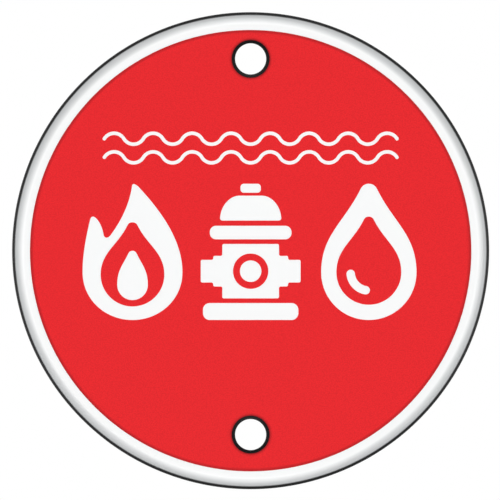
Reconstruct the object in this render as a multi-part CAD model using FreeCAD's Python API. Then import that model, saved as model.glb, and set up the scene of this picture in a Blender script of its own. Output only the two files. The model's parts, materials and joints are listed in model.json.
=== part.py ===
import FreeCAD, Part
import math
import os

# Fire hydrant marker plate, in millimetres.
# A round steel sheet is pressed so that its rim rolls back and turns in to a narrow safe lip.
# Red sheeting is bonded on its face, inside a white border. The white face shows through the
# openings in it: two wave lines, a flame, a hydrant and a drop.
# The plate stands upright as it is mounted: +Z is up, and its face looks along -Y.
# The origin lies midway between the two fixing holes, on the back of the sheet.

# Pressed plate
plate_d = 400.0          # across the rolled rim
sheet_t = 1.2            # steel sheet
roll_r = 10.5            # outside of the roll from the face to the rim
flange_l = 1.0           # straight band of the rim, between the roll and the lip
lip_r = 3.0              # outside of the turn from the rim to the lip
lip_l = 2.5              # flat of the lip
edge_round = 0.25        # punched and sheared edges

# Red sheeting
film_t = 0.3
border_flat = 4.5        # flat white margin between the sheeting and the roll

# Fixing holes, one above the other
hole_d = 26.0
hole_margin = 2.8        # sheeting kept back all round each hole
top_land = 8.4           # red left between the sheeting's edge and its opening at the top hole
bottom_land = 15.0       # the same at the bottom hole

# Row of symbols, each drawn in a field of square modules
field_w = 9.0            # modules
field_h = 12.0           # modules
field_gap = 1.4          # modules between two fields
row_margin = 32.0        # from the row's corners to the sheeting's edge
row_drop = 1.0           # the row's middle lies this far below the plate's

# Wave lines above the row
wave_lift = 16.0         # from the row's top to the lowest line's troughs
wave_inset = 33.0        # from the lines' ends to the sheeting's edge
wave_stroke = 3.0
wave_rise = 4.6          # from a line's middle to its crests, on the stroke's middle
wave_pitch = 15.6        # from one line to the next
wave_lines = 2
wave_halves = 15         # half waves in a line

QUARTER = 0.5523         # handle of a curve that follows a quarter circle, in radii

plate_r = plate_d / 2
hole_r = hole_d / 2
face_y = -sheet_t
roll_start = plate_r - roll_r
lip_edge = plate_r - lip_r - lip_l
film_r = roll_start - border_flat
film_hole_r = hole_r + hole_margin
top_hole = film_r - top_land - film_hole_r
bottom_hole = film_r - bottom_land - film_hole_r
hole_z = (top_hole + bottom_hole) / 2
plate_z = hole_z - top_hole


def place(x, z):
    """A point of the plate's face, from its distances right of and above the plate's middle."""
    return FreeCAD.Vector(x, face_y, plate_z + z)


def polar(x, z, radius, angle):
    """A point of the face on a circle, with the angle in degrees from the right."""
    turn = math.radians(angle)
    return place(x + radius * math.cos(turn), z + radius * math.sin(turn))


def line(start, end):
    return Part.LineSegment(start, end).toShape()


def arc(start, middle, end):
    return Part.Arc(start, middle, end).toShape()


def joined(edges):
    """The closed wire that edges in any order make."""
    return Part.Wire(Part.sortEdges(edges)[0])


def plate_section():
    """Half of the plate's section: along the face, over the roll to the lip, and back inside."""
    def at(radius, depth):
        return FreeCAD.Vector(radius, depth, plate_z)

    def bend(centre_r, centre_y, radius, start, end):
        turns = [math.radians(angle) for angle in (start, (start + end) / 2, end)]
        return arc(*[at(centre_r + radius * math.cos(turn), centre_y + radius * math.sin(turn))
                     for turn in turns])

    inner_r = plate_r - sheet_t
    lip_start = plate_r - lip_r
    roll_y = face_y + roll_r
    lip_y = roll_y + flange_l
    back_y = lip_y + lip_r
    return Part.Wire([
        line(at(0, face_y), at(roll_start, face_y)),
        bend(roll_start, roll_y, roll_r, -90, 0),
        line(at(plate_r, roll_y), at(plate_r, lip_y)),
        bend(lip_start, lip_y, lip_r, 0, 90),
        line(at(lip_start, back_y), at(lip_edge, back_y)),
        line(at(lip_edge, back_y), at(lip_edge, back_y - sheet_t)),
        line(at(lip_edge, back_y - sheet_t), at(lip_start, back_y - sheet_t)),
        bend(lip_start, lip_y, lip_r - sheet_t, 90, 0),
        line(at(inner_r, lip_y), at(inner_r, roll_y)),
        bend(roll_start, roll_y, roll_r - sheet_t, 0, -90),
        line(at(roll_start, 0), at(0, 0)),
        line(at(0, 0), at(0, face_y)),
    ])


def is_cut_edge(edge):
    """Is it an edge of a punched hole or of the lip's free end?"""
    if not isinstance(edge.Curve, Part.Circle):
        return False
    return any(abs(edge.Curve.Radius - radius) < 1e-6 for radius in (hole_r, lip_edge))


def make_plate():
    """The pressed sheet: its turned section, two punched holes, and the cut edges rounded."""
    axis = FreeCAD.Vector(0, 1, 0)
    plate = Part.Face(plate_section()).revolve(FreeCAD.Vector(0, 0, plate_z), axis, 360)
    for z in (hole_z, -hole_z):
        before_face = FreeCAD.Vector(0, face_y - sheet_t, z)
        plate = plate.cut(Part.makeCylinder(hole_r, 3 * sheet_t, before_face, axis))
    return plate.makeFillet(edge_round, [edge for edge in plate.Edges if is_cut_edge(edge)])


def circle_loop(x, z, radius):
    return Part.Wire(Part.Circle(place(x, z), FreeCAD.Vector(0, 1, 0), radius).toShape())


def knot_loop(knots):
    """Closed outline through knots: each is a point, the handle before it and the one after it."""
    edges = []
    for (_, _, leaving), (end, arriving, _), (start, _, _) in zip(
            knots, knots[1:] + knots[:1], knots):
        curve = Part.BezierCurve()
        curve.setPoles([place(*point) for point in (start, leaving, arriving, end)])
        edges.append(curve.toShape())
    return Part.Wire(edges)


def corner_loop(corners, radius):
    """Closed outline of straight runs, with each corner rounded to the radius."""
    edges = []
    ends = []
    for k, corner in enumerate(corners):
        here = place(*corner)
        back = (place(*corners[k - 1]) - here).normalize()
        on = (place(*corners[(k + 1) % len(corners)]) - here).normalize()
        half = back.getAngle(on) / 2
        reach = radius / math.tan(half)
        middle = here + (back + on).normalize() * (radius / math.sin(half) - radius)
        ends.append((here + back * reach, here + on * reach))
        edges.append(arc(ends[k][0], middle, ends[k][1]))
    edges += [line(ends[k - 1][1], ends[k][0]) for k in range(len(ends))]
    return joined(edges)


def bar_loop(x, z, width, height, radius):
    """Rectangle about a middle, with rounded corners."""
    w, h = width / 2, height / 2
    corners = [(x - w, z - h), (x + w, z - h), (x + w, z + h), (x - w, z + h)]
    return corner_loop(corners, radius)


def stroke_loop(arcs, width):
    """Outline of a stroke with round ends along arcs that run on into each other.

    An arc is the place of its centre, its radius, and the angles that it runs from and to.
    """
    half = width / 2
    edges = []
    for x, z, radius, start, end in arcs:
        for reach in (radius - half, radius + half):
            edges.append(arc(*[polar(x, z, reach, angle)
                               for angle in (start, (start + end) / 2, end)]))
    first, last = arcs[0], arcs[-1]
    for (x, z, radius, start, end), angle, way in ((first, first[3], -1), (last, last[4], 1)):
        heading = math.radians(angle + math.copysign(90, (end - start) * way))
        tip = polar(x, z, radius, angle)
        tip += FreeCAD.Vector(half * math.cos(heading), 0, half * math.sin(heading))
        edges.append(arc(polar(x, z, radius - half, angle), tip, polar(x, z, radius + half, angle)))
    return joined(edges)


def drop_loop(x, z, belly_r, rise, tip_r):
    """Drop: a round belly about a middle, drawn up to a rounded tip."""
    side = math.radians(26)
    belly = QUARTER * belly_r
    pull = 0.42 * rise
    turn = 0.4 * tip_r
    tip_x, tip_z = tip_r * math.cos(side), z + rise - tip_r * (1 - math.sin(side))

    def half(way):
        shoulder = ((x + way * belly_r, z), (x + way * belly_r, z - belly), (x + way * belly_r, z + pull))
        neck = ((x + way * tip_x, tip_z),
                (x + way * (tip_x + pull * math.sin(side)), tip_z - pull * math.cos(side)),
                (x + way * (tip_x - turn * math.sin(side)), tip_z + turn * math.cos(side)))
        return shoulder, neck

    shoulder, neck = half(1)
    bottom = ((x, z - belly_r), (x - belly, z - belly_r), (x + belly, z - belly_r))
    tip = ((x, z + rise), (x + turn, z + rise), (x - turn, z + rise))
    mirrored = [(point, after, before) for point, before, after in reversed(half(-1))]
    return knot_loop([bottom, shoulder, neck, tip, *mirrored])


def flame(x, z, module):
    """Flame with a small tongue at its left, and a lesser flame inside it."""
    knots = [
        ((0.0, -6.0), (-2.4, -6.0), (2.4, -6.0)),
        ((4.4, -1.8), (4.4, -4.2), (4.4, 1.1)),
        ((0.65, 5.6), (2.4, 3.7), (0.3, 6.0)),
        ((-0.05, 5.8), (0.0, 6.1), (-0.15, 5.0)),
        ((-1.95, 1.45), (-0.55, 3.3), (-2.2, 1.15)),
        ((-2.55, 1.55), (-2.5, 1.2), (-2.65, 2.2)),
        ((-3.25, 3.0), (-2.95, 2.75), (-3.5, 3.2)),
        ((-3.75, 2.75), (-3.7, 3.1), (-4.05, 1.5)),
        ((-4.4, -1.8), (-4.4, -0.1), (-4.4, -4.2)),
    ]
    outside = knot_loop([tuple((x + u * module, z + v * module) for u, v in knot)
                         for knot in knots])
    inside = drop_loop(x, z - 2.0 * module, 2.8 * module, 4.6 * module, 0.5 * module)
    core = drop_loop(x, z - 2.9 * module, 1.35 * module, 3.0 * module, 0.4 * module)
    return [outside, inside, core]


def hydrant(x, z, module):
    """Hydrant from the front: nut, bonnet, flange, barrel with three outlets, and foot."""
    def field(points):
        return [(x + u * module, z + v * module) for u, v in points]

    bonnet = [
        ((-2.45, 2.75), (-2.6, 2.75), (-1.5, 2.75)),
        ((2.45, 2.75), (1.5, 2.75), (2.6, 2.75)),
        ((2.7, 3.0), (2.7, 2.85), (2.6, 4.2)),
        ((1.0, 4.95), (1.75, 4.95), (0.5, 4.95)),
        ((-1.0, 4.95), (-0.5, 4.95), (-1.75, 4.95)),
        ((-2.7, 3.0), (-2.6, 4.2), (-2.7, 2.85)),
    ]
    side = [(2.5, 0.7), (2.5, -0.35), (3.3, -0.35), (3.3, -0.7), (4.4, -0.7),
            (4.4, -2.7), (3.3, -2.7), (3.3, -3.05), (2.5, -3.05), (2.5, -4.1)]
    barrel = side + [(-u, v) for u, v in reversed(side)]
    return [
        bar_loop(x, z + 5.6 * module, 1.8 * module, 0.8 * module, 0.3 * module),
        knot_loop([tuple(field(knot)) for knot in bonnet]),
        bar_loop(x, z + 1.7 * module, 7.2 * module, 1.2 * module, 0.55 * module),
        corner_loop(field(barrel), 0.15 * module),
        circle_loop(x, z - 1.7 * module, 1.55 * module),
        circle_loop(x, z - 1.7 * module, 0.95 * module),
        bar_loop(x, z - 5.25 * module, 8.4 * module, 1.5 * module, 0.6 * module),
    ]


def drop(x, z, module):
    """Drop as a heavy outline, with a gleam in it."""
    middle = z - 1.8 * module
    return [
        drop_loop(x, middle, 4.2 * module, 7.8 * module, 0.8 * module),
        drop_loop(x, middle, 2.85 * module, 4.9 * module, 0.5 * module),
        stroke_loop([(x, middle, 1.6 * module, 185, 260)], 0.75 * module),
    ]


def wave_loop(z, half_length):
    """Line of equal arcs, each half a wave, with crests and troughs in turn."""
    chord = 2 * half_length / wave_halves
    radius = (chord ** 2 / 4 + wave_rise ** 2) / (2 * wave_rise)
    half = math.degrees(math.asin(chord / 2 / radius))
    arcs = []
    for k in range(wave_halves):
        middle = (k + 0.5) * chord - half_length
        if k % 2 == 0:
            arcs.append((middle, z + wave_rise - radius, radius, 90 + half, 90 - half))
        else:
            arcs.append((middle, z - wave_rise + radius, radius, -90 - half, -90 + half))
    return stroke_loop(arcs, wave_stroke)


def symbol_loops():
    """Outlines of all that is cut out of the sheeting for the symbols."""
    row_w = 3 * field_w + 2 * field_gap
    module = (film_r - row_margin) / math.hypot(row_w / 2, field_h / 2)
    pitch = (field_w + field_gap) * module
    loops = flame(-pitch, -row_drop, module)
    loops += hydrant(0, -row_drop, module)
    loops += drop(pitch, -row_drop, module)
    reach = wave_rise + wave_stroke / 2
    lowest = field_h / 2 * module - row_drop + wave_lift + reach
    highest = lowest + (wave_lines - 1) * wave_pitch
    half_length = math.sqrt(film_r ** 2 - (highest + reach) ** 2) - wave_inset
    return loops + [wave_loop(lowest + k * wave_pitch, half_length) for k in range(wave_lines)]


def make_film():
    """The red sheeting: a thin disc, open round the fixing holes and where the symbols are."""
    loops = [circle_loop(0, 0, film_r)]
    loops += [circle_loop(0, z, film_hole_r) for z in (top_hole, -bottom_hole)]
    loops += symbol_loops()
    field = Part.makeFace(loops, "Part::FaceMakerBullseye")
    return field.extrude(FreeCAD.Vector(0, -film_t, 0))


os.makedirs("parts", exist_ok=True)
for name, shape in (("sign_plate", make_plate()), ("red_sheeting", make_film())):
    shape.exportStep(f"parts/{name}.step")
    print(name, "solids", len(shape.Solids), "valid", shape.isValid(), "mm3", round(shape.Volume, 1))
print("fixing holes", round(2 * hole_z, 3), "apart, plate's middle at z", round(plate_z, 3))
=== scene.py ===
import json
import math

import bpy
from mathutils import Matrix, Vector


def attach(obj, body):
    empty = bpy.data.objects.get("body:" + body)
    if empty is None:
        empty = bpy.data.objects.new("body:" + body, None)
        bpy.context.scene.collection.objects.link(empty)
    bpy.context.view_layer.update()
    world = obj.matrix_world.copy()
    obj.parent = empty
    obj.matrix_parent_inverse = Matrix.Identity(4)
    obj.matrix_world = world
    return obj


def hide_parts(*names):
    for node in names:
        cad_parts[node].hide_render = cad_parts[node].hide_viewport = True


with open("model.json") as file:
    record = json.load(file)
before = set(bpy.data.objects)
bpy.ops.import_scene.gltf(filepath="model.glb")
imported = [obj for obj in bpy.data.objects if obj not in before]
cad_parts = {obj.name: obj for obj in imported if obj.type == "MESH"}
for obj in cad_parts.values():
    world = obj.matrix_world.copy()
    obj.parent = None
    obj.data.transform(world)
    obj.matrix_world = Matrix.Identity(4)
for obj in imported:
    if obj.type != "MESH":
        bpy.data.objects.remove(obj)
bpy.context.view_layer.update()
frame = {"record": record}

# Fire hydrant marker plate, in metres: a pressed steel disc with a rolled rim, baked white enamel
# over black primer, and red retroreflective sheeting that is cut open where the symbols are.
# Outlines and sections are drawn flat, with x to the right, y up and z out of the red face, and
# each piece is stood up at the end, so that its face looks along -Y.

mounts = {mount["name"]: mount for mount in frame["record"]["mounts"]}
hole_sizes = mounts["fixing_holes"]["dims"]

# Pressed plate
plate_r = 0.2
sheet_t = 0.0012
roll_r = 0.0105
lip_r = 0.003
lip_l = 0.0025
edge_round = 0.00025
plate_z = mounts["back_face"]["pos_m"][2]
back_y = mounts["lip_face"]["pos_m"][1]
roll_start = plate_r - roll_r
lip_edge = plate_r - lip_r - lip_l
web_inset = 0.0015
web_r = roll_start - web_inset   # the flat web is filled inside this circle

# Fixing holes, one above the other
hole_r = hole_sizes["hole_r_mm"] / 1000
hole_z = hole_sizes["spacing_y_mm"] / 2000

# Red sheeting
film_t = 0.0003
border_flat = 0.0045             # flat white margin outside the sheeting
hole_margin = 0.0028             # bare ring round each hole
film_r = roll_start - border_flat
film_hole_r = hole_r + hole_margin

# White enamel ends on the roll, where it feathers out into bare primer. The faces that wear it reach
# a little further, over whole steps of the roll's quarter turn. Round the holes it ends under the
# sheeting.
roll_steps = 25
enamel_steps = 16
enamel_turn = math.pi / 2 * enamel_steps / roll_steps
enamel_faces_r = roll_start + roll_r * math.sin(enamel_turn)
enamel_run = web_inset + roll_r * enamel_turn     # from the web along the section
enamel_edge = roll_start + 0.00845
enamel_feather = 0.0009
enamel_lap = 0.0015              # how far it runs on there
bare_land_r = film_hole_r + enamel_lap

# Map that a baked finish is read from: a square with the enamel in it as one disc, the primer as
# another, and a gap round each.
bake_map = "OFBake"
map_gap = 0.004
primer_run = 0.039               # the primer's way round the rim's section is under this
primer_disc_r = web_r + primer_run
map_size = (enamel_faces_r + primer_disc_r) * (1 + math.sqrt(0.5)) + 3 * map_gap

# Row of symbols, each drawn in a field of square modules
field_w = 9.0
field_h = 12.0
field_gap = 1.4
row_margin = 0.032
row_drop = 0.001

# Wave lines above the row
wave_lift = 0.016
wave_inset = 0.033
wave_stroke = 0.003
wave_rise = 0.0046
wave_pitch = 0.0156
wave_lines = 2
wave_halves = 15

# Outlines
quarter_handle = 0.5523          # handle of a curve that follows a quarter circle, in radii
knot_span = 45                   # an arc has a knot at least every so many degrees
same_knot = 1e-7                 # knots nearer than this are one

# Meshes
outline_steps = 24               # straight bits of each curve of the sheeting's outlines
rim_steps = 360                  # straight bits of the rim's circles
hole_steps = 96                  # and of the holes'
least_bend_steps = 3             # steps of the sections' smallest bends
weld = 1e-6                      # points nearer than this are one
sharp_turn = math.radians(40)    # an edge that turns more than this is shaded as a crisp one

# Colours, as sRGB hex
enamel_white = "FBFCFC"
# painted shade: the grey that the roll's white darkens to
roll_painted_shade_grey = "D1D3D4"
primer_black = "0A0A0B"
bead_red = "EF2A2F"
resin_red = "E1252A"
# painted shadow round the holes, and a darker band along the sheeting's outer edge, in this red
dark_band_red = "5A1418"
floor_grey = "E8E8E8"
floor_seen_grey = "7C7C7C"
cloth_black = "080808"

# Painted shade: the enamel's colour greys over the roll, where it turns from the light, from the first
# of these distances from the plate's axis to the second
roll_shade_start = roll_start + 0.0014
roll_shade_end = roll_start + 0.0074
roll_shade_power = 2.0

# A darker band along the sheeting's outer edge, and painted shadow round its hole openings, and
# how dark each lies
dark_band_w = 0.003
dark_band_full = 0.0011
hole_shade_power = 2.0
edge_band_dark = 0.4
hole_shade_dark = 0.85

# Overspray dulls the primer on the front of the roll, outside the enamel, and the enamel's last thin
# edge, to this roughness. Beyond this depth it fades.
dull_roughness = 0.9
dull_fade = 0.001
dull_depth = roll_r - sheet_t - dull_fade

# Picture
picture_px = 500
px_size = 0.0008384              # one pixel on the plate
plate_px = (250.65, 250.68)      # the plate's middle
camera_y = -1.2
camera_reach = 20.0              # how far off the camera still sees things

# Studio
sky_level = 0.15
floor_z = -2.2
floor_half = 14.0
floor_glow = 0.86
flag_y = -2.4
flag_half = 2.8
front_turn = math.radians(42)    # between the camera's line and each front softbox
front_distance = 1.3
front_reach = 1.5
front_width = 1.0
front_power = 5.83
back_place = (1.35, 0.9, -0.2)
back_size = 0.8
back_power = 8.0
cloth_peak = 36.0                # the glow that softbox works out averages a 36th over the cloth


def linear(code):
    """Linear colour of an sRGB hex code, with an alpha of 1."""
    parts = [int(code[k:k + 2], 16) / 255 for k in (0, 2, 4)]
    return (*(c / 12.92 if c <= 0.04045 else ((c + 0.055) / 1.055) ** 2.4 for c in parts), 1.0)


def add(tree, kind, feeds=None, **settings):
    """Adds a node. feeds gives inputs, by name or number, their value or what is linked to them."""
    node = tree.nodes.new(kind)
    for name, value in settings.items():
        setattr(node, name, value)
    in_use = {socket.name: socket for socket in reversed(node.inputs) if socket.enabled}
    for key, feed in (feeds or {}).items():
        target = in_use[key] if isinstance(key, str) else node.inputs[key]
        for source in feed if isinstance(feed, list) else [feed]:
            if isinstance(source, bpy.types.Node):
                source = next(socket for socket in source.outputs if socket.enabled)
            if isinstance(source, bpy.types.NodeSocket):
                tree.links.new(source, target)
            else:
                target.default_value = source
    return node


# Outlines

def arc(x, z, radius, start, end):
    """Knots of an arc about a centre, from one angle to another in degrees.

    A knot is a point, the handle before it and the handle after it.
    """
    parts = max(1, math.ceil(abs(end - start) / knot_span))
    step = math.radians(end - start) / parts
    handle = 4 / 3 * math.tan(step / 4) * radius
    knots = []
    for k in range(parts + 1):
        turn = math.radians(start) + k * step
        u, v = x + radius * math.cos(turn), z + radius * math.sin(turn)
        du, dv = -handle * math.sin(turn), handle * math.cos(turn)
        before = (u - du, v - dv) if k > 0 else (u, v)
        after = (u + du, v + dv) if k < parts else (u, v)
        knots.append(((u, v), before, after))
    return knots


def joined(*runs):
    """Closed outline of runs of knots. Where a run ends on the next one's start, they share a knot."""
    knots = []
    for knot in [knot for run in runs for knot in run]:
        if knots and math.dist(knots[-1][0], knot[0]) < same_knot:
            knots[-1] = (knots[-1][0], knots[-1][1], knot[2])
        else:
            knots.append(knot)
    if math.dist(knots[0][0], knots[-1][0]) < same_knot:
        last = knots.pop()
        knots[0] = (knots[0][0], last[1], knots[0][2])
    return knots


def circle_loop(x, z, radius):
    """Circle about a middle."""
    return joined(arc(x, z, radius, 0, 360))


def corner_loop(corners, radius):
    """Closed outline of straight runs, with each corner rounded to the radius."""
    runs = []
    for k, corner in enumerate(corners):
        here = Vector(corner)
        back = (Vector(corners[k - 1]) - here).normalized()
        on = (Vector(corners[(k + 1) % len(corners)]) - here).normalized()
        half = back.angle(on) / 2
        reach = radius / math.tan(half)
        handle = 4 / 3 * math.tan((math.pi / 2 - half) / 2) * radius
        start, end = here + back * reach, here + on * reach
        runs.append([(tuple(start), tuple(start), tuple(start - back * handle)),
                     (tuple(end), tuple(end - on * handle), tuple(end))])
    return joined(*runs)


def bar_loop(x, z, width, height, radius):
    """Rectangle about a middle, with rounded corners."""
    w, h = width / 2, height / 2
    return corner_loop([(x - w, z - h), (x + w, z - h), (x + w, z + h), (x - w, z + h)], radius)


def stroke_loop(arcs, width):
    """Outline of a stroke with round ends along arcs that run on into each other.

    An arc is the place of its centre, its radius, and the angles that it runs from and to.
    """
    half = width / 2
    left, right, caps = [], [], []
    for x, z, radius, start, end in arcs:
        way = 1 if start > end else -1
        left.append(arc(x, z, radius + way * half, start, end))
        right.insert(0, arc(x, z, radius - way * half, end, start))
        caps.append((x, z, radius, start, end, 0 if way > 0 else 180))
    x, z, radius, _, end, turned = caps[-1]
    over, under = math.cos(math.radians(end)), math.sin(math.radians(end))
    last_cap = arc(x + radius * over, z + radius * under, half, end + turned, end + turned - 180)
    x, z, radius, start, _, turned = caps[0]
    over, under = math.cos(math.radians(start)), math.sin(math.radians(start))
    first_cap = arc(x + radius * over, z + radius * under, half, start + turned + 180, start + turned)
    return joined(*left, last_cap, *right, first_cap)


def drop_loop(x, z, belly_r, rise, tip_r):
    """Drop: a round belly about a middle, drawn up to a rounded tip."""
    lean = math.radians(26)      # between the drop's axis and its sides, next to the tip
    belly = quarter_handle * belly_r
    pull = 0.42 * rise           # handle along a side
    turn = 0.4 * tip_r           # handle round the tip
    tip_x = tip_r * math.cos(lean)
    tip_z = z + rise - tip_r * (1 - math.sin(lean))

    def half(way):
        """Knots of the right half, or of the left one for a way of -1."""
        side = x + way * belly_r
        shoulder = ((side, z), (side, z - belly), (side, z + pull))
        neck = ((x + way * tip_x, tip_z),
                (x + way * (tip_x + pull * math.sin(lean)), tip_z - pull * math.cos(lean)),
                (x + way * (tip_x - turn * math.sin(lean)), tip_z + turn * math.cos(lean)))
        return shoulder, neck

    shoulder, neck = half(1)
    bottom = ((x, z - belly_r), (x - belly, z - belly_r), (x + belly, z - belly_r))
    tip = ((x, z + rise), (x + turn, z + rise), (x - turn, z + rise))
    mirrored = [(point, after, before) for point, before, after in reversed(half(-1))]
    return [bottom, shoulder, neck, tip, *mirrored]


def in_field(knots, x, z, module):
    """Knots that are given in modules about a field's middle, in their place on the plate."""
    return [tuple((x + u * module, z + v * module) for u, v in knot) for knot in knots]


def flame(x, z, module):
    """Flame with a small tongue at its left, and a lesser flame inside it."""
    outside = [
        ((0.0, -6.0), (-2.4, -6.0), (2.4, -6.0)),
        ((4.4, -1.8), (4.4, -4.2), (4.4, 1.1)),
        ((0.65, 5.6), (2.4, 3.7), (0.3, 6.0)),
        ((-0.05, 5.8), (0.0, 6.1), (-0.15, 5.0)),
        ((-1.95, 1.45), (-0.55, 3.3), (-2.2, 1.15)),
        ((-2.55, 1.55), (-2.5, 1.2), (-2.65, 2.2)),
        ((-3.25, 3.0), (-2.95, 2.75), (-3.5, 3.2)),
        ((-3.75, 2.75), (-3.7, 3.1), (-4.05, 1.5)),
        ((-4.4, -1.8), (-4.4, -0.1), (-4.4, -4.2)),
    ]
    inside = drop_loop(x, z - 2.0 * module, 2.8 * module, 4.6 * module, 0.5 * module)
    core = drop_loop(x, z - 2.9 * module, 1.35 * module, 3.0 * module, 0.4 * module)
    return [in_field(outside, x, z, module), inside, core]


def hydrant(x, z, module):
    """Hydrant from the front: nut, bonnet, flange, barrel with three outlets, and foot."""
    bonnet = [
        ((-2.45, 2.75), (-2.6, 2.75), (-1.5, 2.75)),
        ((2.45, 2.75), (1.5, 2.75), (2.6, 2.75)),
        ((2.7, 3.0), (2.7, 2.85), (2.6, 4.2)),
        ((1.0, 4.95), (1.75, 4.95), (0.5, 4.95)),
        ((-1.0, 4.95), (-0.5, 4.95), (-1.75, 4.95)),
        ((-2.7, 3.0), (-2.6, 4.2), (-2.7, 2.85)),
    ]
    side = [(2.5, 0.7), (2.5, -0.35), (3.3, -0.35), (3.3, -0.7), (4.4, -0.7),
            (4.4, -2.7), (3.3, -2.7), (3.3, -3.05), (2.5, -3.05), (2.5, -4.1)]
    barrel = [(x + u * module, z + v * module)
              for u, v in side + [(-u, v) for u, v in reversed(side)]]
    return [
        bar_loop(x, z + 5.6 * module, 1.8 * module, 0.8 * module, 0.3 * module),
        in_field(bonnet, x, z, module),
        bar_loop(x, z + 1.7 * module, 7.2 * module, 1.2 * module, 0.55 * module),
        corner_loop(barrel, 0.15 * module),
        circle_loop(x, z - 1.7 * module, 1.55 * module),
        circle_loop(x, z - 1.7 * module, 0.95 * module),
        bar_loop(x, z - 5.25 * module, 8.4 * module, 1.5 * module, 0.6 * module),
    ]


def drop(x, z, module):
    """Drop as a heavy outline, with a gleam in it."""
    middle = z - 1.8 * module
    return [
        drop_loop(x, middle, 4.2 * module, 7.8 * module, 0.8 * module),
        drop_loop(x, middle, 2.85 * module, 4.9 * module, 0.5 * module),
        stroke_loop([(x, middle, 1.6 * module, 185, 260)], 0.75 * module),
    ]


def wave_loop(z, half_length):
    """Line of equal arcs, each half a wave, with crests and troughs in turn."""
    chord = 2 * half_length / wave_halves
    radius = (chord ** 2 / 4 + wave_rise ** 2) / (2 * wave_rise)
    half = math.degrees(math.asin(chord / 2 / radius))
    arcs = []
    for k in range(wave_halves):
        middle = (k + 0.5) * chord - half_length
        if k % 2 == 0:
            arcs.append((middle, z + wave_rise - radius, radius, 90 + half, 90 - half))
        else:
            arcs.append((middle, z - wave_rise + radius, radius, -90 - half, -90 + half))
    return stroke_loop(arcs, wave_stroke)


def symbol_loops():
    """Outlines of all that is cut out of the sheeting for the symbols, from the plate's middle."""
    row_w = 3 * field_w + 2 * field_gap
    module = (film_r - row_margin) / math.hypot(row_w / 2, field_h / 2)
    pitch = (field_w + field_gap) * module
    loops = flame(-pitch, -row_drop, module)
    loops += hydrant(0, -row_drop, module)
    loops += drop(pitch, -row_drop, module)
    reach = wave_rise + wave_stroke / 2
    lowest = field_h / 2 * module - row_drop + wave_lift + reach
    highest = lowest + (wave_lines - 1) * wave_pitch
    half_length = math.sqrt(film_r ** 2 - (highest + reach) ** 2) - wave_inset
    return loops + [wave_loop(lowest + k * wave_pitch, half_length) for k in range(wave_lines)]


def outline_object(name, loops, z):
    """Curve object of closed outlines, raised by z."""
    curve = bpy.data.curves.new(name, "CURVE")
    curve.dimensions = "3D"
    for loop in loops:
        spline = curve.splines.new("BEZIER")
        spline.bezier_points.add(len(loop) - 1)
        spline.use_cyclic_u = True
        spline.resolution_u = outline_steps
        for point, (place, before, after) in zip(spline.bezier_points, loop):
            point.handle_left_type = point.handle_right_type = "FREE"
            point.co = (place[0], place[1] + z, 0)
            point.handle_left = (before[0], before[1] + z, 0)
            point.handle_right = (after[0], after[1] + z, 0)
    return bpy.data.objects.new(name, curve)


def section_object(name, sections):
    """Curve object of open sections. Each of a section's corners is x, y and its bend's radius."""
    curve = bpy.data.curves.new(name, "CURVE")
    curve.dimensions = "3D"
    for corners in sections:
        spline = curve.splines.new("POLY")
        spline.points.add(len(corners) - 1)
        for point, (x, y, bend) in zip(spline.points, corners):
            point.co = (x, y, 0, 1)
            point.radius = bend
    return bpy.data.objects.new(name, curve)


# Geometry trees

def geometry_tree(name, inputs):
    """New tree with a geometry input and named ones, each with its kind of socket."""
    tree = bpy.data.node_groups.new(name, "GeometryNodeTree")
    tree.interface.new_socket("Geometry", in_out="INPUT", socket_type="NodeSocketGeometry")
    for label, kind in inputs.items():
        tree.interface.new_socket(label, in_out="INPUT", socket_type=f"NodeSocket{kind}")
    tree.interface.new_socket("Geometry", in_out="OUTPUT", socket_type="NodeSocketGeometry")
    return tree, tree.nodes.new("NodeGroupInput").outputs


def stood_up(tree, flat):
    """A flat drawing stood up, so that its z becomes -Y and its y becomes Z."""
    return add(tree, "GeometryNodeTransform", {"Geometry": flat, "Rotation": (math.pi / 2, 0, 0)})


def kept(tree, geometry, domain, fields):
    """Geometry that takes the given fields, numbers or yes and no, along with it, and each of them."""
    node = add(tree, "GeometryNodeCaptureAttribute", {"Geometry": geometry}, domain=domain)
    for label, field in fields.items():
        if isinstance(field, bool):
            node.capture_items.new("BOOLEAN", label)
            node.inputs[label].default_value = field
        else:
            node.capture_items.new("FLOAT", label)
            tree.links.new(field, node.inputs[label])
    return [node.outputs[label] for label in ("Geometry", *fields)]


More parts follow.
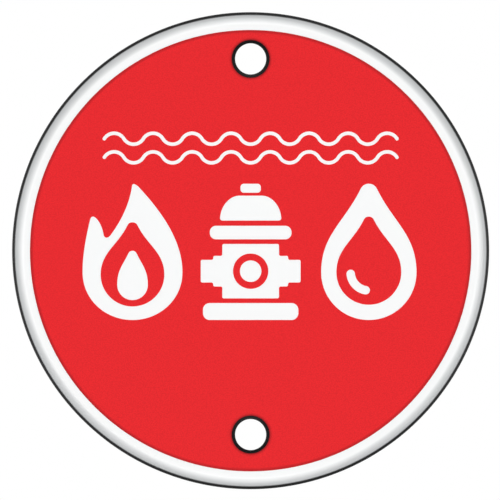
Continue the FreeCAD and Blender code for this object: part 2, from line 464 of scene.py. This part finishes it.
def plate_parts(tree, given):
    """The rim and holes turned from their sections, and the flat web's face and back between them.

    Two fields go with them: each point's run along its section, and the section's whole run.
    """
    def circle(radius, steps, height):
        """Circle about the axis or a hole's middle, at its height on the plate."""
        ring = add(tree, "GeometryNodeCurvePrimitiveCircle",
                   {"Radius": given[radius], "Resolution": given[steps]})
        up = add(tree, "ShaderNodeCombineXYZ", {"Y": height})
        return add(tree, "GeometryNodeTransform", {"Geometry": ring, "Translation": up})

    bend = add(tree, "GeometryNodeInputRadius")
    share = add(tree, "ShaderNodeMath", {0: bend, 1: given["Roll Radius"]}, operation="DIVIDE")
    steps = add(tree, "ShaderNodeMath", {0: share, 1: given["Roll Steps"]}, operation="MULTIPLY")
    steps = add(tree, "ShaderNodeMath", {0: steps, 1: given["Least Bend Steps"]}, operation="MAXIMUM")
    steps = add(tree, "FunctionNodeFloatToInt", {0: steps}, rounding_mode="ROUND")
    bent = add(tree, "GeometryNodeFilletCurve",
               {"Curve": given["Geometry"], "Radius": bend, "Count": steps}, mode="POLY")
    bent, run, whole_run = kept(tree, bent, "POINT", {
        "Run": add(tree, "GeometryNodeSplineParameter").outputs["Length"],
        "Whole Run": add(tree, "GeometryNodeSplineLength").outputs["Length"],
    })
    number = add(tree, "GeometryNodeInputIndex")
    is_rim = add(tree, "FunctionNodeCompare", {"A": number, "B": 0},
                 data_type="INT", operation="EQUAL")
    sections = add(tree, "GeometryNodeSeparateGeometry", {"Geometry": bent, "Selection": is_rim},
                   domain="CURVE")

    middle = given["Middle Height"]
    above = given["Hole Height"]
    below = add(tree, "ShaderNodeMath", {0: above, 1: -1.0}, operation="MULTIPLY")
    rim = add(tree, "GeometryNodeCurveToMesh",
              {"Curve": circle("Rim Radius", "Rim Steps", middle), "Profile Curve": sections})
    hole_paths = add(tree, "GeometryNodeJoinGeometry", {"Geometry": [
        circle("Hole Radius", "Hole Steps", above), circle("Hole Radius", "Hole Steps", below)]})
    holes = add(tree, "GeometryNodeCurveToMesh",
                {"Curve": hole_paths, "Profile Curve": sections.outputs["Inverted"]})

    web_loops = add(tree, "GeometryNodeJoinGeometry", {"Geometry": [
        circle("Web Radius", "Rim Steps", middle), circle("Hole Land Radius", "Hole Steps", above),
        circle("Hole Land Radius", "Hole Steps", below)]})
    web = add(tree, "GeometryNodeFillCurve", {"Curve": web_loops}, mode="TRIANGLES")
    forward = add(tree, "ShaderNodeCombineXYZ", {"Z": given["Sheet Thickness"]})
    web_face = add(tree, "GeometryNodeTransform", {"Geometry": web, "Translation": forward})
    web_back = add(tree, "GeometryNodeFlipFaces", {"Mesh": web})
    return rim, holes, web_face, web_back, run, whole_run


def laid_round(tree, place, axis_height, radius):
    """Where a turned part lies when it is laid flat round its axis, at a radius from it."""
    axis = add(tree, "ShaderNodeCombineXYZ", {"Y": axis_height})
    out = add(tree, "ShaderNodeVectorMath", {0: place, 1: axis}, operation="SUBTRACT")
    out = add(tree, "ShaderNodeVectorMath", {0: out, 1: (1, 1, 0)}, operation="MULTIPLY")
    out = add(tree, "ShaderNodeVectorMath", {0: out}, operation="NORMALIZE")
    out = add(tree, "ShaderNodeVectorMath", {0: out, "Scale": radius}, operation="SCALE")
    return add(tree, "ShaderNodeVectorMath", {0: out, 1: axis}, operation="ADD")


def on_bake_map(tree, part, laid, side, middle):
    """A part with its place on the bake map, from where it lies when it is laid flat.

    side is 1 if it lies there as seen from the front, and -1 if as seen from behind. middle is the
    middle of its disc, along both of the map's sides.
    """
    shift = (middle, middle - plate_z / map_size, 0)
    spot = add(tree, "ShaderNodeVectorMath",
               {0: laid, 1: (side / map_size, 1 / map_size, 0), 2: shift}, operation="MULTIPLY_ADD")
    return add(tree, "GeometryNodeStoreNamedAttribute",
               {"Geometry": part, "Name": bake_map, "Value": spot}, data_type="FLOAT2", domain="CORNER")


def plate_tree():
    """Makes the plate from its sections, lays its faces out on the bake map, and coats it.

    Enamel and primer lie apart on the map, so that a baked finish ends as crisply as the real one.
    The primer's disc is the flat back, with the rim rolled out round it, and each hole's wall and
    front ring laid inside the hole.
    """
    tree, given = geometry_tree("pressed_plate", {
        "Rim Radius": "Float", "Web Radius": "Float", "Middle Height": "Float",
        "Hole Radius": "Float", "Hole Land Radius": "Float", "Hole Height": "Float",
        "Sheet Thickness": "Float", "Roll Radius": "Float", "Roll Steps": "Int",
        "Least Bend Steps": "Int", "Rim Steps": "Int", "Hole Steps": "Int",
        "Enamel Run": "Float", "Enamel": "Material", "Primer": "Material",
    })
    rim, holes, web_face, web_back, run, whole_run = plate_parts(tree, given)

    is_front = add(tree, "FunctionNodeCompare", {"A": run, "B": given["Enamel Run"]},
                   data_type="FLOAT", operation="LESS_THAN")
    rim = add(tree, "GeometryNodeSeparateGeometry", {"Geometry": rim, "Selection": is_front},
              domain="FACE")
    front = add(tree, "GeometryNodeJoinGeometry", {"Geometry": [rim, web_face]})
    front, enamelled = kept(tree, front, "FACE", {"Enamelled": True})

    place = add(tree, "GeometryNodeInputPosition")
    run_left = add(tree, "ShaderNodeMath", {0: whole_run, 1: run}, operation="SUBTRACT")
    rim_r = add(tree, "ShaderNodeMath", {0: given["Web Radius"], 1: run_left}, operation="ADD")
    rim_laid = laid_round(tree, place, given["Middle Height"], rim_r)
    height = add(tree, "ShaderNodeSeparateXYZ", {"Vector": place}).outputs["Y"]
    upper = add(tree, "ShaderNodeMath", {0: height}, operation="SIGN")
    hole_height = add(tree, "ShaderNodeMath", {0: upper, 1: given["Hole Height"]}, operation="MULTIPLY")
    wall_r = add(tree, "ShaderNodeMath", {0: given["Hole Land Radius"], 1: run}, operation="SUBTRACT")
    holes_laid = laid_round(tree, place, hole_height, wall_r)

    enamel_middle = (enamel_faces_r + map_gap) / map_size
    primer_middle = 1 - (primer_disc_r + map_gap) / map_size
    whole = add(tree, "GeometryNodeJoinGeometry", {"Geometry": [
        on_bake_map(tree, front, place, 1, enamel_middle),
        on_bake_map(tree, web_back, place, -1, primer_middle),
        on_bake_map(tree, rim.outputs["Inverted"], rim_laid, -1, primer_middle),
        on_bake_map(tree, holes, holes_laid, -1, primer_middle),
    ]})
    whole = add(tree, "GeometryNodeMergeByDistance", {"Geometry": whole, "Distance": weld})
    whole = add(tree, "GeometryNodeRealizeInstances", {"Geometry": stood_up(tree, whole)})
    coated = add(tree, "GeometryNodeSetMaterial", {"Geometry": whole, "Material": given["Primer"]})
    coated = add(tree, "GeometryNodeSetMaterial",
                 {"Geometry": coated, "Selection": enamelled, "Material": given["Enamel"]})
    add(tree, "NodeGroupOutput", {"Geometry": coated})
    return tree


def sheeting_tree():
    """Fills outlines on the plate's face and gives the fill its thickness, as a closed solid."""
    tree, given = geometry_tree("cut_sheeting", {
        "Thickness": "Float", "Face Height": "Float", "Material": "Material",
    })
    flat = add(tree, "GeometryNodeFillCurve", {"Curve": given["Geometry"]}, mode="TRIANGLES")
    raised = add(tree, "GeometryNodeExtrudeMesh",
                 {"Mesh": flat, "Offset": (0, 0, 1), "Offset Scale": given["Thickness"],
                  "Individual": False}, mode="FACES")
    under = add(tree, "GeometryNodeFlipFaces", {"Mesh": flat})
    closed = add(tree, "GeometryNodeJoinGeometry", {"Geometry": [raised, under]})
    closed = add(tree, "GeometryNodeMergeByDistance", {"Geometry": closed, "Distance": weld})
    forward = add(tree, "ShaderNodeCombineXYZ", {"Z": given["Face Height"]})
    closed = add(tree, "GeometryNodeTransform", {"Geometry": closed, "Translation": forward})
    closed = add(tree, "GeometryNodeRealizeInstances", {"Geometry": stood_up(tree, closed)})
    closed = add(tree, "GeometryNodeSetMaterial", {"Geometry": closed, "Material": given["Material"]})
    add(tree, "NodeGroupOutput", {"Geometry": closed})
    return tree


def grow(name, source, tree, sizes):
    """Runs a tree on a source object and returns what it makes as a plain mesh object."""
    scene.collection.objects.link(source)
    modifier = source.modifiers.new(name, "NODES")
    modifier.node_group = tree
    for item in tree.interface.items_tree:
        if item.in_out == "INPUT" and item.name in sizes:
            modifier[item.identifier] = sizes[item.name]
    depsgraph = bpy.context.evaluated_depsgraph_get()
    mesh = bpy.data.meshes.new_from_object(source.evaluated_get(depsgraph), depsgraph=depsgraph)
    mesh.name = name
    while mesh.materials[0] is None:
        mesh.materials.pop(index=0)
    mesh.shade_smooth()
    mesh.set_sharp_from_angle(angle=sharp_turn)
    source.modifiers.remove(modifier)
    bpy.data.objects.remove(source)
    piece = bpy.data.objects.new(name, mesh)
    scene.collection.objects.link(piece)
    return piece


# Materials

def new_material(name):
    """Node material with nothing but its output."""
    made = bpy.data.materials.new(name)
    made.use_nodes = True
    made.node_tree.nodes.clear()
    return made, made.node_tree


def ripples(tree, place, pitch, height, under=None):
    """Bump of soft ripples: how far apart they are, how high, and the bump that they lie on."""
    waves = add(tree, "ShaderNodeTexNoise", {"Vector": place, "Scale": 1 / pitch, "Detail": 1.0})
    feeds = {"Height": waves, "Distance": height, "Strength": 1.0}
    if under:
        feeds["Normal"] = under
    return add(tree, "ShaderNodeBump", feeds)


def coat_bump(tree, place, pitch, height):
    """Ripples of a coat over the long shallow waves that pressing leaves in flat sheet steel."""
    steel = ripples(tree, place, pitch=0.09, height=0.0006)
    return ripples(tree, place, pitch, height, under=steel)


def clouds(tree, place, pitch, detail, least, most):
    """Soft clouds, a pitch apart, of a value between least and most."""
    cloud = add(tree, "ShaderNodeTexNoise", {"Vector": place, "Scale": 1 / pitch, "Detail": detail})
    return add(tree, "ShaderNodeMapRange", {"Value": cloud, "To Min": least, "To Max": most})


def from_axis(tree, place):
    """Distance from the line through the plate's middle, which the face is turned about."""
    offset = add(tree, "ShaderNodeVectorMath", {0: place, 1: (0, 0, plate_z)}, operation="SUBTRACT")
    across = add(tree, "ShaderNodeVectorMath", {0: offset, 1: (1, 0, 1)}, operation="MULTIPLY")
    return add(tree, "ShaderNodeVectorMath", {0: across}, operation="LENGTH").outputs["Value"]


def from_hole(tree, place):
    """Distance from the line through the nearer fixing hole's middle."""
    parts = add(tree, "ShaderNodeSeparateXYZ", {"Vector": place}).outputs
    height = add(tree, "ShaderNodeMath", {0: parts["Z"]}, operation="ABSOLUTE")
    height = add(tree, "ShaderNodeMath", {0: height, 1: hole_z}, operation="SUBTRACT")
    across = add(tree, "ShaderNodeCombineXYZ", {"X": parts["X"], "Z": height})
    return add(tree, "ShaderNodeVectorMath", {0: across}, operation="LENGTH").outputs["Value"]


def baked_enamel():
    """White stove enamel, sprayed and baked on the pressed steel.

    To the eye: a clean cool white with a hard gloss, reflections that tremble a little as on orange
    peel, painted shade that greys the white outward over the roll, and bare black primer past its edge.
    """
    made, tree = new_material("white_baked_enamel")
    place = add(tree, "ShaderNodeTexCoord").outputs["Object"]
    radius = from_axis(tree, place)
    # Painted shade: the roll's white darkens outward to grey, for the roll turning away from the light
    unshaded = add(tree, "ShaderNodeMapRange",
                {"Value": radius, "From Min": roll_shade_end, "From Max": roll_shade_start})
    unshaded = add(tree, "ShaderNodeMath", {0: unshaded, 1: roll_shade_power}, operation="POWER")
    colour = add(tree, "ShaderNodeMix",
                 {"Factor": unshaded, "A": linear(roll_painted_shade_grey), "B": linear(enamel_white)},
                 data_type="RGBA")
    gloss = clouds(tree, place, pitch=0.03, detail=2.0, least=0.09, most=0.15)
    bare = add(tree, "ShaderNodeMapRange",
               {"Value": radius, "From Min": enamel_edge - enamel_feather, "From Max": enamel_edge})
    colour = add(tree, "ShaderNodeMix", {"Factor": bare, "A": colour, "B": linear(primer_black)},
                 data_type="RGBA")
    gloss = add(tree, "ShaderNodeMix", {"Factor": bare, "A": gloss, "B": dull_roughness},
                data_type="FLOAT")
    shader = add(tree, "ShaderNodeBsdfPrincipled", {
        "Base Color": colour, "Roughness": gloss, "IOR": 1.5,
        "Normal": coat_bump(tree, place, pitch=0.004, height=0.000012)})
    add(tree, "ShaderNodeOutputMaterial", {"Surface": shader})
    return made


def black_primer():
    """Black electrocoat primer, dipped and baked.

    To the eye: an even black with a low sheen, which shows the steel's finest unevenness.
    """
    made, tree = new_material("black_primer")
    place = add(tree, "ShaderNodeTexCoord").outputs["Object"]
    sheen = clouds(tree, place, pitch=0.012, detail=3.0, least=0.22, most=0.32)
    radius = from_axis(tree, place)
    outward = add(tree, "ShaderNodeMapRange",
                  {"Value": radius, "From Min": enamel_edge - dull_fade, "From Max": enamel_edge})
    depth = add(tree, "ShaderNodeSeparateXYZ", {"Vector": place}).outputs["Y"]
    forward = add(tree, "ShaderNodeMapRange",
                  {"Value": depth, "From Min": dull_depth + dull_fade, "From Max": dull_depth})
    dull = add(tree, "ShaderNodeMath", {0: outward, 1: forward}, operation="MULTIPLY")
    sheen = add(tree, "ShaderNodeMix", {"Factor": dull, "A": sheen, "B": dull_roughness},
                data_type="FLOAT")
    shader = add(tree, "ShaderNodeBsdfPrincipled", {
        "Base Color": linear(primer_black), "Roughness": sheen, "IOR": 1.5, "Specular IOR Level": 0.35,
        "Normal": coat_bump(tree, place, pitch=0.003, height=0.000015)})
    add(tree, "ShaderNodeOutputMaterial", {"Surface": shader})
    return made


def red_reflective_sheeting():
    """Red reflective sheeting: glass beads in red resin under a clear film, darker along its outer edge.

    To the eye: a deep even red with a very fine grain, and over it the film's smooth gloss. It darkens
    in a band along its outer edge, and painted shadow darkens it round the hole openings. The real
    beads are finer than 0.1 mm. They are drawn at least ten times as coarse, to show at all.
    """
    made, tree = new_material("red_reflective_sheeting")
    place = add(tree, "ShaderNodeTexCoord").outputs["Object"]
    bead_pitch = 0.001
    bead_height = 0.00004
    bead_side = 0.25             # distances from a bead's middle, in pitches
    resin = 0.75
    beads = add(tree, "ShaderNodeTexVoronoi", {"Vector": place, "Scale": 1 / bead_pitch})
    grain = add(tree, "ShaderNodeBump", {"Height": beads, "Distance": bead_height, "Strength": 1.0})
    between = add(tree, "ShaderNodeMapRange",
                  {"Value": beads, "From Min": bead_side, "From Max": resin})
    colour = add(tree, "ShaderNodeMix",
                 {"Factor": between, "A": linear(bead_red), "B": linear(resin_red)}, data_type="RGBA")
    # A darker band along the sheeting's outer edge
    edge = add(tree, "ShaderNodeMapRange",
               {"Value": from_axis(tree, place), "From Min": film_r - dark_band_w,
                "From Max": film_r - dark_band_full, "To Max": edge_band_dark})
    # Painted shadow: the red darkens round each hole opening, as if shaded by the hole's edge
    hole = add(tree, "ShaderNodeMapRange",
               {"Value": from_hole(tree, place), "From Min": film_hole_r + dark_band_w,
                "From Max": film_hole_r})
    hole = add(tree, "ShaderNodeMath", {0: hole, 1: hole_shade_power}, operation="POWER")
    hole = add(tree, "ShaderNodeMath", {0: hole, 1: hole_shade_dark}, operation="MULTIPLY")
    darkened = add(tree, "ShaderNodeMath", {0: edge, 1: hole}, operation="MAXIMUM")
    colour = add(tree, "ShaderNodeMix", {"Factor": darkened, "A": colour, "B": linear(dark_band_red)},
                 data_type="RGBA")
    shader = add(tree, "ShaderNodeBsdfPrincipled", {
        "Base Color": colour, "Roughness": 0.4, "Specular IOR Level": 0.1, "Normal": grain,
        "Coat Weight": 0.7, "Coat Roughness": 0.08, "Coat IOR": 1.49,
        "Coat Normal": coat_bump(tree, place, pitch=0.006, height=0.00001)})
    add(tree, "ShaderNodeOutputMaterial", {"Surface": shader})
    return made


# Pieces

def pressed_plate():
    """Plate from the sections of its rim and of its holes' edges, each from the web and back to it.

    The rim's section is drawn from the rim's outermost line, and a hole's from the hole's wall.
    """
    rim = [
        (web_r - plate_r, -sheet_t, 0),
        (0, -sheet_t, roll_r),
        (0, back_y, lip_r),
        (lip_edge - plate_r, back_y, edge_round),
        (lip_edge - plate_r, back_y - sheet_t, edge_round),
        (-sheet_t, back_y - sheet_t, lip_r - sheet_t),
        (-sheet_t, 0, roll_r - sheet_t),
        (web_r - plate_r, 0, 0),
    ]
    land = bare_land_r - hole_r
    hole = [(land, 0, 0), (0, 0, edge_round), (0, -sheet_t, edge_round), (land, -sheet_t, 0)]
    return grow("pressed_plate", section_object("plate_sections", [rim, hole]), plate_tree(), {
        "Rim Radius": plate_r, "Web Radius": web_r, "Middle Height": plate_z,
        "Hole Radius": hole_r, "Hole Land Radius": bare_land_r, "Hole Height": hole_z,
        "Sheet Thickness": sheet_t, "Roll Radius": roll_r, "Roll Steps": roll_steps,
        "Least Bend Steps": least_bend_steps, "Rim Steps": rim_steps, "Hole Steps": hole_steps,
        "Enamel Run": enamel_run, "Enamel": baked_enamel(), "Primer": black_primer(),
    })


def red_sheeting():
    """Sheeting cut from its outline, its openings round the holes, and the symbols."""
    loops = [circle_loop(0, 0, film_r)]
    loops += [circle_loop(0, z - plate_z, film_hole_r) for z in (hole_z, -hole_z)]
    loops += symbol_loops()
    outlines = outline_object("sheeting_outlines", loops, plate_z)
    return grow("red_sheeting_cut", outlines, sheeting_tree(), {
        "Thickness": film_t, "Face Height": sheet_t, "Material": red_reflective_sheeting(),
    })


# Studio

def seen_rays(tree):
    """1 for a ray that shows the surroundings to the eye, straight or in a reflection, and else 0."""
    rays = add(tree, "ShaderNodeLightPath").outputs
    direct = add(tree, "ShaderNodeMath", {0: rays["Is Camera Ray"], 1: rays["Is Glossy Ray"]},
                 operation="ADD")
    return add(tree, "ShaderNodeMath", {0: direct, 1: rays["Is Transmission Ray"]},
               operation="ADD", use_clamp=True)


def white_surroundings():
    """White where they are seen, and softer as a light."""
    world = bpy.data.worlds.new("white_surroundings")
    world.use_nodes = True
    tree = world.node_tree
    tree.nodes.clear()
    strength = add(tree, "ShaderNodeMapRange",
                   {"Value": seen_rays(tree), "To Min": sky_level, "To Max": 1.0})
    light = add(tree, "ShaderNodeBackground", {"Color": (1, 1, 1, 1), "Strength": strength})
    add(tree, "ShaderNodeOutputWorld", {"Surface": light})
    scene.world = world


def softbox(name, place, width, height, power):
    """Soft lamp aimed at the plate's middle. Its cloth fades from the middle to the edges."""
    lamp = bpy.data.lights.new(name, "AREA")
    lamp.shape = "RECTANGLE"
    lamp.size, lamp.size_y = width, height
    lamp.energy = power
    lamp.use_nodes = True
    tree = lamp.node_tree
    tree.nodes.clear()
    across = add(tree, "ShaderNodeNewGeometry").outputs["Parametric"]
    rest = add(tree, "ShaderNodeVectorMath", {0: (1, 1, 1), 1: across}, operation="SUBTRACT")
    hump = add(tree, "ShaderNodeVectorMath", {0: across, 1: rest}, operation="MULTIPLY")
    hump = add(tree, "ShaderNodeSeparateXYZ", {"Vector": hump}).outputs
    glow = add(tree, "ShaderNodeMath", {0: hump["X"], 1: hump["Y"]}, operation="MULTIPLY")
    glow = add(tree, "ShaderNodeMath", {0: glow, 1: cloth_peak}, operation="MULTIPLY")
    light = add(tree, "ShaderNodeEmission", {"Strength": glow})
    add(tree, "ShaderNodeOutputLight", {"Surface": light})
    holder = bpy.data.objects.new(name, lamp)
    holder.location = place
    aim = Vector((0, 0, plate_z)) - Vector(place)
    holder.rotation_euler = aim.to_track_quat("-Z", "Y").to_euler()
    holder.visible_camera = False
    scene.collection.objects.link(holder)


def light_plate():
    """Four equal softboxes round the camera, which all reach in towards it, and two behind the plate."""
    out, ahead = front_distance * math.sin(front_turn), front_distance * math.cos(front_turn)
    for name, side in (("right", 1), ("left", -1)):
        softbox(f"{name}_softbox", (side * out, -ahead, plate_z),
                front_reach, front_width, front_power)
        softbox(f"{name}_back_softbox", (side * back_place[0], *back_place[1:]),
                back_size, back_size, back_power)
    for name, side in (("top", 1), ("bottom", -1)):
        softbox(f"{name}_softbox", (0, -ahead, plate_z + side * out),
                front_width, front_reach, front_power)


def stage_panel(name, corners, material):
    """Flat panel of the studio, which isn't part of the plate."""
    mesh = bpy.data.meshes.new(name)
    mesh.from_pydata(corners, [], [(0, 1, 2, 3)])
    mesh.materials.append(material)
    panel = bpy.data.objects.new(name, mesh)
    scene.collection.objects.link(panel)
    return panel


def pale_floor():
    """Pale floor far below the hung plate. It looks near white, and still takes a shadow."""
    made, tree = new_material("pale_floor")
    seen = seen_rays(tree)
    colour = add(tree, "ShaderNodeMix",
                 {"Factor": seen, "A": linear(floor_grey), "B": linear(floor_seen_grey)},
                 data_type="RGBA")
    matt = add(tree, "ShaderNodeBsdfDiffuse", {"Color": colour})
    glow = add(tree, "ShaderNodeMath", {0: seen, 1: floor_glow}, operation="MULTIPLY")
    light = add(tree, "ShaderNodeEmission", {"Strength": glow})
    both = add(tree, "ShaderNodeAddShader", {0: matt, 1: light})
    add(tree, "ShaderNodeOutputMaterial", {"Surface": both})
    corners = [(-floor_half, -floor_half, floor_z), (floor_half, -floor_half, floor_z),
               (floor_half, floor_half, floor_z), (-floor_half, floor_half, floor_z)]
    stage_panel("floor", corners, made)


def dark_flag():
    """Black cloth hung behind the camera, which keeps the red deep. Only reflections show it."""
    made, tree = new_material("black_cloth")
    cloth = add(tree, "ShaderNodeBsdfDiffuse", {"Color": linear(cloth_black)})
    add(tree, "ShaderNodeOutputMaterial", {"Surface": cloth})
    corners = [(-flag_half, flag_y, flag_half), (flag_half, flag_y, flag_half),
               (flag_half, flag_y, floor_z), (-flag_half, flag_y, floor_z)]
    flag = stage_panel("dark_flag", corners, made)
    flag.visible_camera = False
    flag.visible_diffuse = False
    flag.visible_transmission = False
    flag.visible_shadow = False


def level_camera():
    """Camera straight in front and level, without perspective, as the plate is drawn."""
    lens = bpy.data.cameras.new("camera")
    lens.type = "ORTHO"
    lens.ortho_scale = picture_px * px_size
    lens.clip_end = camera_reach
    camera = bpy.data.objects.new("camera", lens)
    right, below = [(middle - picture_px / 2) * px_size for middle in plate_px]
    camera.location = (-right, camera_y, plate_z + below)
    camera.rotation_euler = (math.pi / 2, 0, 0)
    scene.collection.objects.link(camera)
    scene.camera = camera


scene = bpy.context.scene
scene.view_settings.view_transform = "Standard"

for piece, node, slot in ((pressed_plate(), "sign_plate", "white_enamel"),
                          (red_sheeting(), "red_sheeting", "red_sheeting")):
    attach(piece, "root")
    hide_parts(node)

white_surroundings()
pale_floor()
dark_flag()
light_plate()
level_camera()
